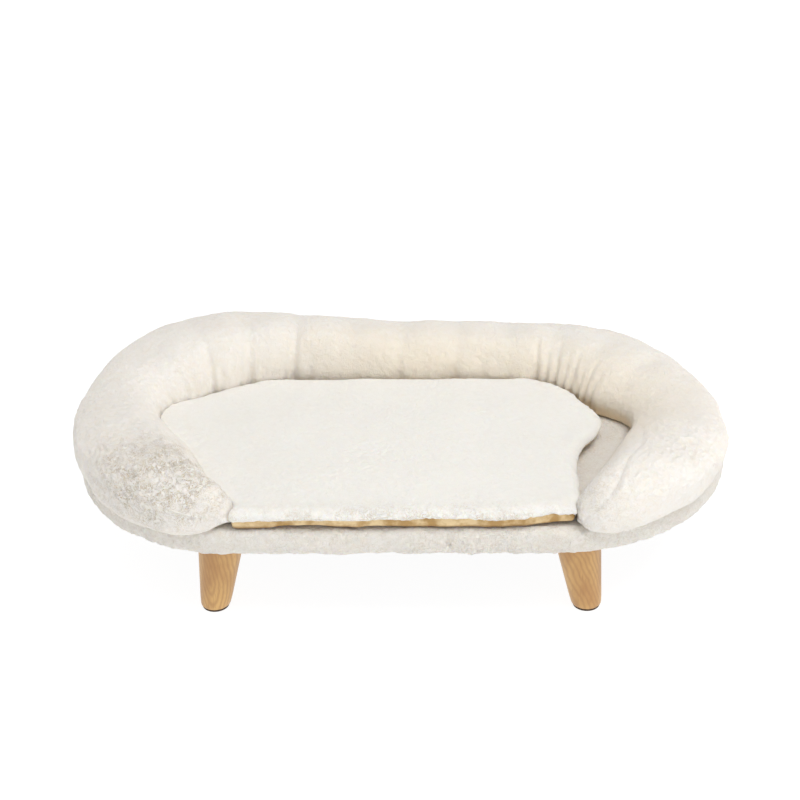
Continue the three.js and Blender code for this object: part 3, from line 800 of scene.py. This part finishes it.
def base_cover():
    """Plush over the foam and round the board's edge, turned in under the board."""
    skin, turned_in, turned_thick = 4 * MM, 24 * MM, 3 * MM
    top_round, low_round, bulge = 8 * MM, 7 * MM, 1.5 * MM
    inner_top = [BASE_RADIUS, 176 * MM]
    fine_top = [*np.arange(172, 60, -3.5) * MM, *np.arange(60, 9, -2.5) * MM]
    outer = [(inset, BASE_TOP) for inset in (*inner_top, *fine_top)]
    outer += arc_points((top_round, BASE_TOP - top_round), top_round, 90, 8, 7)
    outer += [(-bulge * f, BASE_TOP + (BASE_BOTTOM - BASE_TOP) * f) for f in (0.38, 0.46, 0.54, 0.62)]
    outer += arc_points((low_round, BASE_BOTTOM + low_round), low_round, -8, -90, 6)
    outer += [(inset, BASE_BOTTOM) for inset in (10 * MM, 14 * MM, 19 * MM, turned_in)]
    inside = [
        (turned_in, BASE_BOTTOM + turned_thick),
        (skin + 2 * MM, BASE_BOTTOM + turned_thick),
        (skin, BASE_BOTTOM + turned_thick + 2 * MM),
        (skin, BASE_TOP - skin - 1 * MM),
        (skin + 2 * MM, BASE_TOP - skin),
        (60 * MM, BASE_TOP - skin),
        (BASE_RADIUS, BASE_TOP - skin),
    ]
    count = 2 * int((math.pi * BASE_RADIUS + 2 * ROUND_CENTRE) / BASE_GRID)
    rings = base_rings(outer + inside, count)
    cover = rings[: len(outer)]
    normals = outward_normals(cover, centre=np.array([0, 0, (BASE_TOP + BASE_BOTTOM) / 2]))
    inset = np.array([place for place, _ in outer])[:, None]
    height = cover[..., 2]
    relief = pile_height(cover, 11) * 1.5
    sag = 1.3 * noise(cover, 46 * MM, 61, 0.4)
    tucks = 1.4 * noise(cover, 15 * MM, 62, 0.1)
    tucks *= 1 - smooth(height, BASE_BOTTOM, BASE_BOTTOM + 14 * MM)
    seen = 1 - smooth(inset, 164 * MM, 174 * MM) + 0 * height
    below = (inset > low_round) & (height < BASE_BOTTOM + 1 * MM)
    amount = (relief + sag + tucks) * MM * seen * np.where(below, 0.25, 1)
    inner_share = smooth(inset, 8 * MM, 30 * MM) * (height > BASE_TOP - 2 * MM)
    amount = np.where(inner_share > 0, np.minimum(amount, 0.4 * MM) * (1 - 0.5 * inner_share), amount)
    rings[: len(outer)] = cover + normals * amount[..., None]
    rings[:, :, 2] = np.maximum(rings[:, :, 2], BASE_BOTTOM - 0.6 * MM)
    made = tube("base_cover_plush", rings)
    finish(made, "base", BASE_PLUSH, ["base_cover"])


DUST_RIM = 14 * MM  # from the base's edge to the edge of the dust cloth
DUST_STEP = 24.7 * MM  # where the cloth steps down beside the turned-in plush


def dust_cloth_sheet():
    """Black cloth stretched under the board, stepping down over the turned-in plush."""
    low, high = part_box("dust_cover")
    thick = 0.8 * MM
    ring_points = 420
    upper, lower = high.z - thick / 2, low.z + thick / 2
    section = [(inset, upper) for inset in (BASE_RADIUS, 120 * MM, 60 * MM, 40 * MM, 30 * MM)]
    section += [(DUST_STEP + 1 * MM, upper), (DUST_STEP, upper - thick), (DUST_STEP, lower + thick)]
    section += [(inset, lower) for inset in (DUST_STEP - 1 * MM, 20 * MM, 17 * MM, DUST_RIM)]
    rings = base_rings(section, ring_points)
    ripple = noise(rings, 30 * MM, 71, 0.1) * 0.25 * MM
    rings[-5:, :, 2] -= np.abs(ripple[-5:])
    rings[-1, :, :2] *= 1 + noise(rings[-1], 25 * MM, 72)[:, None] * 0.0015
    made = tube("dust_cloth", rings)
    add_modifier(made, "SOLIDIFY", thickness=thick, offset=0)
    finish(made, "base", DUST_CLOTH, ["dust_cover"])


def staples():
    """Wire staples through the rim of the dust cloth."""
    count, crown, wire, sunk = 46, 10 * MM, 0.7 * MM, 0.9 * MM
    bends = [(-crown / 2, sunk), (-crown / 2 + wire, -wire), (crown / 2 - wire, -wire), (crown / 2, sunk)]
    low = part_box("dust_cover")[0].z
    middle, outward = round_base(count)
    most_turn = 0.3  # radians that a staple may be turned from the edge's direction
    turn = hashed(np.stack([np.arange(count)] * 3, axis=-1), 81) * most_turn
    points, faces = [], []
    for index in range(count):
        direction = Vector((*outward[index], 0))
        tangent = Matrix.Rotation(turn[index], 3, "Z") @ Vector((-direction.y, direction.x, 0))
        side = tangent.cross(Vector((0, 0, 1)))
        centre = Vector((*middle[index], 0)) + direction * (BASE_RADIUS - 18 * MM)
        first = len(points)
        for place, height in bends:
            for across, up in ((-1, 0), (1, 0), (1, 1), (-1, 1)):
                lift = Vector((0, 0, low + height - 0.1 * MM + up * wire))
                points.append(centre + tangent * place + side * across * wire * 0.8 + lift)
        faces += tube_faces(4, 4, first=first)
        faces += [(first, first + 1, first + 2, first + 3), (first + 15, first + 14, first + 13, first + 12)]
    made = new_object("rim_staples", points, faces, smooth_faces=False)
    weld(made)
    bevel(made, 0.15 * MM)
    finish(made, "base", STEEL)


# ---- Legs ----
def middle_of(node):
    low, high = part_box(node)
    return (low + high) / 2


LATHE_STEPS = 72  # faces round a leg


def lathe(profile, steps):
    """Rings of points round the Z axis for each (radius, height) of the profile."""
    angles = np.arange(steps) / steps * 2 * math.pi
    return np.array([[(r * math.cos(a), r * math.sin(a), z) for a in angles] for r, z in profile])


def leg(corner, number):
    """A turned, tapered leg that leans outwards, with the hanger bolt's bore in its top."""
    name = "leg_" + corner
    low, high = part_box(name)
    foot, top = middle_of("foot_pad_" + corner), middle_of("leg_plate_" + corner)
    foot_radius = min(foot.x - low.x, high.x - foot.x)
    top_radius = min(top.x - low.x, high.x - top.x)
    bolt_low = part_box("hanger_bolt_" + corner)[0].z
    edge, bore = 3 * MM, 4.3 * MM
    tall = high.z - low.z
    profile = [(0, low.z), (foot_radius - edge, low.z)]
    profile += [
        (foot_radius - edge + edge * math.sin(a), low.z + edge - edge * math.cos(a))
        for a in np.radians((30, 60, 90))
    ]
    for share in np.linspace(0.1, 0.96, 12):
        profile.append((foot_radius + (top_radius - foot_radius) * share, low.z + tall * share))
    profile += [
        (top_radius, high.z - 1.2 * MM),
        (top_radius - 0.8 * MM, high.z - 0.2 * MM),
        (top_radius - 1.8 * MM, high.z),
    ]
    outer_rings = len(profile)
    profile += [(bore, high.z), (bore, bolt_low - 1 * MM), (0, bolt_low - 1 * MM)]
    rings = lathe(profile, LATHE_STEPS)
    share = (rings[..., 2] - low.z) / tall
    share[outer_rings:] = 1  # the bore is upright
    shift = np.array([top.x - foot.x, top.y - foot.y])
    rings[..., :2] += share[..., None] * shift
    turn = number * 1.9
    spin = np.array([[math.cos(turn), math.sin(turn)], [-math.sin(turn), math.cos(turn)]])
    rings[..., :2] = rings[..., :2] @ spin.T
    made = tube(name + "_turned", rings)
    made.location = (foot.x, foot.y, 0)
    made.rotation_euler.z = turn
    made.data.set_sharp_from_angle(angle=math.radians(50))
    finish(made, "base", LEG_WOOD, [name])


def foot_pad(corner):
    name = "foot_pad_" + corner
    low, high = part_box(name)
    radius = (high.x - low.x) / 2
    profile = [
        (0, low.z), (radius - 1 * MM, low.z), (radius - 0.3 * MM, low.z + 0.3 * MM),
        (radius, low.z + 1 * MM), (radius, high.z - 0.5 * MM), (radius - 0.4 * MM, high.z), (0, high.z),
    ]
    rings = lathe(profile, 56)
    made = tube(name + "_felt", rings)
    middle = middle_of(name)
    made.location = (middle.x, middle.y, 0)
    finish(made, "base", RUBBER, [name])


# ---- Mat ----
MAT_CENTRE = np.array([0, -45 * MM])
MAT_FRONT = -199 * MM
MAT_CLEARANCE = 0.2 * MM  # between the mat and the bolster's inner edge
MAT_STEPS = 760  # points round the mat
EDGE_STEPS = 1500  # points along the bolster's inner edge, from which the mat's outline is taken
FRONT_STEPS = 600  # points of the outline along the open front
MAT_SHOULDER = 12.5 * MM  # from the mat's edge to the flat part of its top
CENTRE = -0.0001  # inset, as a share, of a ring so small that it closes the piece


def mat_right_edge():
    """Points of the mat's edge beside the right arm, which it doesn't touch. It runs straight but for
    a bulge into the corner where the arm begins."""
    straight, bulge, bulge_width = 199, 36, 50
    y = np.linspace(-205, 77, 12)
    return np.stack([straight + bulge * bell(y, 0, bulge_width), y], axis=-1) * MM


def mat_reach():
    """Distance from the mat's centre to its edge for directions all round it, and how far the edge
    is pressed against the bolster there, from 0 to 1."""
    along = np.linspace(-ROLL_HALF, ROLL_HALF, EDGE_STEPS)
    inner, outer, _ = roll_plan(along)
    middle = (inner + outer) / 2
    edge = middle + (inner - middle) * tip_closing(along)[:, None]
    tangent = np.gradient(edge, axis=0)
    inward = np.stack([tangent[:, 1], -tangent[:, 0]], axis=-1)
    inward /= np.linalg.norm(inward, axis=1)[:, None]
    edge = edge + inward * MAT_CLEARANCE
    edge = edge[edge[:, 1] > MAT_FRONT]
    edge[:, 1] = np.minimum(edge[:, 1], MAT_WALL_REAR + 5 * MM)
    front = np.linspace(edge[-1], edge[0], FRONT_STEPS)
    set_back = 7 * smooth(front[:, 0], 110 * MM, 195 * MM) - 1.5 * bell(front[:, 0], 0, 90 * MM)
    front[:, 1] = MAT_FRONT + set_back * MM
    outline = np.concatenate([edge, front]) - MAT_CENTRE
    angle = np.arctan2(outline[:, 1], outline[:, 0])
    order = np.argsort(angle)
    directions = np.arange(MAT_STEPS) / MAT_STEPS * 2 * math.pi - math.pi
    reach = np.interp(directions, angle[order], np.linalg.norm(outline, axis=1)[order], period=2 * math.pi)
    right = mat_right_edge() - MAT_CENTRE
    right_angle = np.arctan2(right[:, 1], right[:, 0])
    right_reach = curve_through(right_angle, np.linalg.norm(right, axis=1)[:, None], directions)[:, 0]
    beside = (directions > right_angle[0]) & (directions < right_angle[-1])
    reach = np.where(beside, np.minimum(reach, right_reach), reach)
    in_front = reach * np.sin(directions) + MAT_CENTRE[1] < -185 * MM
    pressed = np.where(beside | in_front, 0.0, 1.0)

    def evened(values, steps):
        spread = np.exp(-np.linspace(-2, 2, 2 * steps + 1) ** 2)
        padded = np.concatenate([values[-steps:], values, values[:steps]])
        return np.convolve(padded, spread / spread.sum(), mode="valid")

    return directions, evened(reach, 4), evened(pressed, 12)


def mat_rings(section, squeeze=0.6):
    """Rings round the mat for each (inset, height). An inset below 0 is a share of the way from the
    centre to the edge of the flat part. Squeeze is how much shallower the insets are at a pressed edge."""
    directions, reach, pressed = mat_reach()
    away = np.stack([np.cos(directions), np.sin(directions)], axis=-1)
    rings = []
    for inset, height in section:
        radius = (reach - MAT_SHOULDER) * -inset if inset < 0 else reach - inset * (1 - squeeze * pressed)
        plan = MAT_CENTRE + away * radius[:, None]
        rings.append(np.concatenate([plan, np.full((len(reach), 1), height)], axis=-1))
    return np.array(rings), pressed


def fine_rings(height, count):
    """Rings from the centre of the mat out to the edge of its flat part."""
    return [(-share, height) for share in np.linspace(-CENTRE, 1, count)]


def mat_top():
    """Plush top of the mat: flat with soft hollows, rounded over at its edge."""
    lip = MAT_TOP - 10.5 * MM
    section = fine_rings(MAT_TOP, 112)
    flat_rings = len(section)
    section += [
        (9.4 * MM, MAT_TOP - 0.4 * MM), (6.7 * MM, MAT_TOP - 1.2 * MM), (4.3 * MM, MAT_TOP - 2.4 * MM),
        (2.4 * MM, MAT_TOP - 3.8 * MM), (1.0 * MM, MAT_TOP - 5.4 * MM), (0.2 * MM, MAT_TOP - 7.0 * MM),
        (0.0, MAT_TOP - 8.3 * MM),
        (0.7 * MM, MAT_TOP - 9.5 * MM), (2.2 * MM, lip), (4.0 * MM, lip + 0.4 * MM),
    ]
    outer_rings = len(section)
    section += [(4.6 * MM, MAT_PILE_LOW - 0.2 * MM), (30 * MM, MAT_PILE_LOW)]
    section += [(-0.5, MAT_PILE_LOW), (CENTRE, MAT_PILE_LOW)]
    rings, pressed = mat_rings(section)
    skin = rings[:outer_rings]
    shoulder = skin[..., 2] > MAT_TOP - 8 * MM
    skin[..., 2] = np.where(shoulder, MAT_TOP - (MAT_TOP - skin[..., 2]) * (1 - 0.6 * pressed), skin[..., 2])
    normals = outward_normals(skin, centre=np.array([*MAT_CENTRE, MAT_LOW]))
    hollows = 1.9 * noise(skin, 95 * MM, 91, 0) + 0.7 * noise(skin, 40 * MM, 92, 0)
    relief = pile_height(skin, 21) * 0.4
    near_edge = np.zeros(len(skin))
    near_edge[flat_rings - 12:] = np.linspace(0, 1, len(skin) - flat_rings + 12)
    edge_waves = 1.6 * noise(skin, 26 * MM, 93, 0) * near_edge[:, None]
    relief = relief * (1 + 2.6 * near_edge[:, None])
    beside_zip = smooth(np.abs(skin[..., 0]), 122 * MM, 145 * MM)
    over_zip = smooth(skin[..., 1], 50 * MM, 75 * MM) * (1 - beside_zip)
    calm = 1 - 0.9 * over_zip * near_edge[:, None]
    skin = skin + normals * ((relief + edge_waves) * calm * MM)[..., None]
    skin[..., 2] += hollows * MM
    uneven = 0.5 + noise(skin, 60 * MM, 94, 0)
    skin[..., 2] -= 1.2 * MM * smooth(near_edge, 0.3, 1)[:, None] * uneven
    at_front = smooth(-skin[..., 1], 0.15, 0.185) * near_edge[:, None]
    hang = 2.6 * smooth(-skin[..., 0], 0.09, 0.17) - 1.2 * smooth(skin[..., 0], 0.11, 0.18)
    skin[..., 2] -= hang * at_front * smooth(MAT_TOP - skin[..., 2], 3 * MM, 8 * MM) * MM
    rings[:outer_rings] = skin
    made = tube("mat_top_plush", rings)
    finish(made, "mat", MAT_PLUSH, ["mat_top"])


def mat_lining():
    """Satin case of the mat: a puckered side wall and the panel below, open at the rear for the zip."""
    high, low = MAT_PILE_LOW - 0.4 * MM, MAT_LOW + 0.5 * MM
    inset = 5 * MM
    section = [(inset, high), *((inset, z) for z in np.linspace(high - 1 * MM, low + 3 * MM, 16))]
    section += [(5.6 * MM, low + 1.6 * MM), (6.8 * MM, low + 0.5 * MM), (8.6 * MM, low)]
    wall = len(section)
    section += [(16 * MM, low), (30 * MM, low), (-0.6, low), (-0.3, low), (CENTRE, low)]
    rings, _ = mat_rings(section)
    side = rings[:wall]
    away = side[..., :2] - MAT_CENTRE
    away /= np.linalg.norm(away, axis=-1, keepdims=True)
    height_share = (side[..., 2] - low) / (high - low)
    pucker = 1.1 * noise(side, 11 * MM, 95, 0.25) + 1.3 * noise(side, 27 * MM, 96, 0.25)
    belly = 1.6 * np.sin(np.clip(height_share, 0, 1) * math.pi)
    at_zip = (np.abs(side[..., 0]) < ZIP_HALF_LENGTH + 6 * MM) & (side[..., 1] > 0)
    moved = np.where(at_zip, 0, (pucker + belly) * MM)
    side[..., :2] += away * moved[..., None]
    side[..., 1] = np.where(at_zip, MAT_WALL_REAR, side[..., 1])
    lift = smooth(noise(side, 70 * MM, 97, 0), -0.3, 0.5) * 4.0 * MM
    lift += 4 * MM * smooth(side[..., 0], 120 * MM, 185 * MM) * (side[..., 1] < 0)
    side[..., 2] += np.where(at_zip, 0, lift) * (1 - np.clip(height_share, 0, 1))
    rings[:wall] = side
    faces = np.array(tube_faces(*rings.shape[:2]))
    centres = rings.reshape(-1, 3)[faces].mean(axis=1)
    slot_half, rear = 5.5 * MM, 90 * MM
    slot = (np.abs(centres[:, 0]) < ZIP_HALF_LENGTH) & (centres[:, 1] > rear)
    slot &= np.abs(centres[:, 2] - ZIP_HEIGHT) < slot_half
    points, kept = compact(rings.reshape(-1, 3), faces[~slot].tolist())
    made = new_object("mat_lining_satin", points, kept)
    weld(made)
    add_modifier(made, "SOLIDIFY", thickness=1.0 * MM, offset=-1)
    finish(made, "mat", LINING, ["mat_lining"])


def mat_wadding():
    """The fibre pad inside the mat."""
    low, high = MAT_LOW + 2.4 * MM, MAT_PILE_LOW - 0.9 * MM
    edge = 12 * MM
    section = [
        (CENTRE, high), (-0.35, high), (-0.65, high), (-0.85, high), (edge + 6 * MM, high),
        (edge + 1.5 * MM, high - 1.5 * MM), (edge, (low + high) / 2), (edge + 1.5 * MM, low + 1.5 * MM),
        (edge + 6 * MM, low), (-0.6, low), (CENTRE, low),
    ]
    rings, _ = mat_rings(section, squeeze=0)
    rim = rings[4:8]
    rim[..., :2] += (noise(rim, 22 * MM, 98) * 0.006)[..., None] * (rim[..., :2] - MAT_CENTRE)
    made = tube("mat_wadding", rings)
    finish(made, "mat", FIBRE, ["mat_filling"])


# ---- Zip ----
def block(points, faces, low, high):
    first = len(points)
    points += [
        (x, y, z) for z in (low[2], high[2]) for x, y in
        ((low[0], low[1]), (high[0], low[1]), (high[0], high[1]), (low[0], high[1]))
    ]
    corners = [(0, 3, 2, 1), (4, 5, 6, 7), (0, 1, 5, 4), (1, 2, 6, 5), (2, 3, 7, 6), (3, 0, 4, 7)]
    faces += [tuple(first + corner for corner in face) for face in corners]


def zip_tape(name, side):
    """A cloth tape with its row of coil teeth at the slit and a stop at each end."""
    low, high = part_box(name)
    pitch, tape_thick, coil_width = 1.6 * MM, 0.7 * MM, 2 * MM
    slit = low.z if side > 0 else high.z
    points, faces = [], []
    block(points, faces, (low.x, low.y, low.z), (high.x, low.y + tape_thick, high.z))
    tooth_count = int((high.x - low.x - 14 * MM) / pitch)
    coil_low, coil_high = sorted((slit, slit + side * coil_width))
    for number in range(tooth_count):
        x = (number - (tooth_count - 1) / 2 + side * 0.25) * pitch
        block(
            points, faces, (x - 0.45 * MM, low.y + tape_thick - 0.05 * MM, coil_low),
            (x + 0.45 * MM, low.y + tape_thick + 1.15 * MM, coil_high),
        )
    for end in (-1, 1):
        x = end * (high.x - 6.5 * MM)
        block(
            points, faces, (x - 1.5 * MM, low.y - 0.1 * MM, coil_low - 0.2 * MM),
            (x + 1.5 * MM, high.y, coil_high + 0.2 * MM),
        )
    made = new_object(name + "_coil", points, faces, smooth_faces=False)
    bevel(made, 0.22 * MM)
    finish(made, "mat", ZIP_NYLON, [name])


def keep_node(name, material, edge):
    """A CAD node that shows as it is, with a finished material and softened edges."""
    kept = nodes[name]
    kept.data.materials.clear()
    kept.data.materials.append(material)
    bevel(kept, edge)
    return kept


CORNERS = ["front_left", "front_right", "rear_left", "rear_right"]

bolster()
bolster_fibre()
base_cover()
dust_cloth_sheet()
staples()
for number, corner in enumerate(CORNERS):
    leg(corner, number)
    foot_pad(corner)
    keep_node("leg_plate_" + corner, STEEL, 0.35 * MM)
    keep_node("hanger_bolt_" + corner, STEEL, 0.2 * MM)
    for screw in range(1, 5):
        keep_node(f"plate_screw_{corner}_{screw}", STEEL, 0.2 * MM)
keep_node("base_board", PLYWOOD, 0.5 * MM)
keep_node("base_foam", FOAM, 1 * MM)
mat_top()
mat_lining()
mat_wadding()
zip_tape("zip_tape_upper", 1)
zip_tape("zip_tape_lower", -1)
keep_node("zip_slider", ZIP_METAL, 0.25 * MM)
keep_node("zip_pull", ZIP_METAL, 0.2 * MM)


# ---- Camera, light and floor ----
CAMERA = {"distance": 1.8449, "elevation": 31.39, "azimuth": -2.5, "roll": -1.65, "lens": 69.75}
CAMERA_TARGET = Vector((0, 0, 0.1031))
CAMERA_SHIFT = (-0.0021, 0.0767)


def add_camera():
    data = bpy.data.cameras.new("camera")
    data.lens = CAMERA["lens"]
    data.sensor_width = 36
    data.shift_x, data.shift_y = CAMERA_SHIFT
    data.clip_start = 0.05
    made = linked("camera", data)
    down, turn = math.radians(CAMERA["elevation"]), math.radians(CAMERA["azimuth"])
    forward = Vector((math.sin(turn) * math.cos(down), math.cos(turn) * math.cos(down), -math.sin(down)))
    right = forward.cross(Vector((0, 0, 1))).normalized()
    up = right.cross(forward)
    tilt = Matrix.Rotation(math.radians(CAMERA["roll"]), 3, -forward)
    right, up = tilt @ right, tilt @ up
    made.matrix_world = Matrix.Translation(CAMERA_TARGET - forward * CAMERA["distance"]) @ Matrix(
        (right, up, -forward)
    ).transposed().to_4x4()
    bpy.context.scene.camera = made


def add_area_light(name, place, target, size, power, colour):
    data = bpy.data.lights.new(name, "AREA")
    data.shape = "DISK"
    data.size = size
    data.energy = power
    data.color = colour
    made = linked(name, data)
    made.location = place
    made.rotation_euler = (Vector(target) - Vector(place)).to_track_quat("-Z", "Y").to_euler()


def add_stage():
    """A round paper floor that sweeps up into a wall, a soft key light from above and a low fill."""
    radius, sweep, wall = 12, 1.5, 4.5  # of the flat floor, of its bend, and the height it rises to
    turn = np.linspace(0, math.pi / 2, 9)
    bend = zip(radius + sweep * np.sin(turn), sweep - sweep * np.cos(turn))
    profile = [(0, 0), *bend, (radius + sweep, wall)]
    rings = lathe(profile, 64)
    floor = new_object("floor", rings, tube_faces(*rings.shape[:2]))
    surface = Surface("floor_paper", Roughness=0.9, Emission_Color=(1, 1, 1, 1), Emission_Strength=0.92)
    surface.colour(surface.mix(surface.noise(0.4), srgb(122, 122, 122), srgb(128, 128, 128)))
    floor.data.materials.append(surface.material)
    world = bpy.data.worlds.new("studio")
    world.use_nodes = True
    background = world.node_tree.nodes["Background"]
    background.inputs["Color"].default_value = (1, 0.975, 0.94, 1)
    background.inputs["Strength"].default_value = 0.45
    bpy.context.scene.world = world
    add_area_light("key", (1.3, -1.0, 4.2), (0, 0, 0.15), size=2.6, power=118, colour=(1, 0.995, 0.99))
    add_area_light("fill", (2.6, -2.0, 0.5), (0.1, 0, 0.15), size=1.6, power=10, colour=(1, 0.99, 0.98))
    bpy.context.scene.view_settings.view_transform = "Standard"


add_camera()
add_stage()
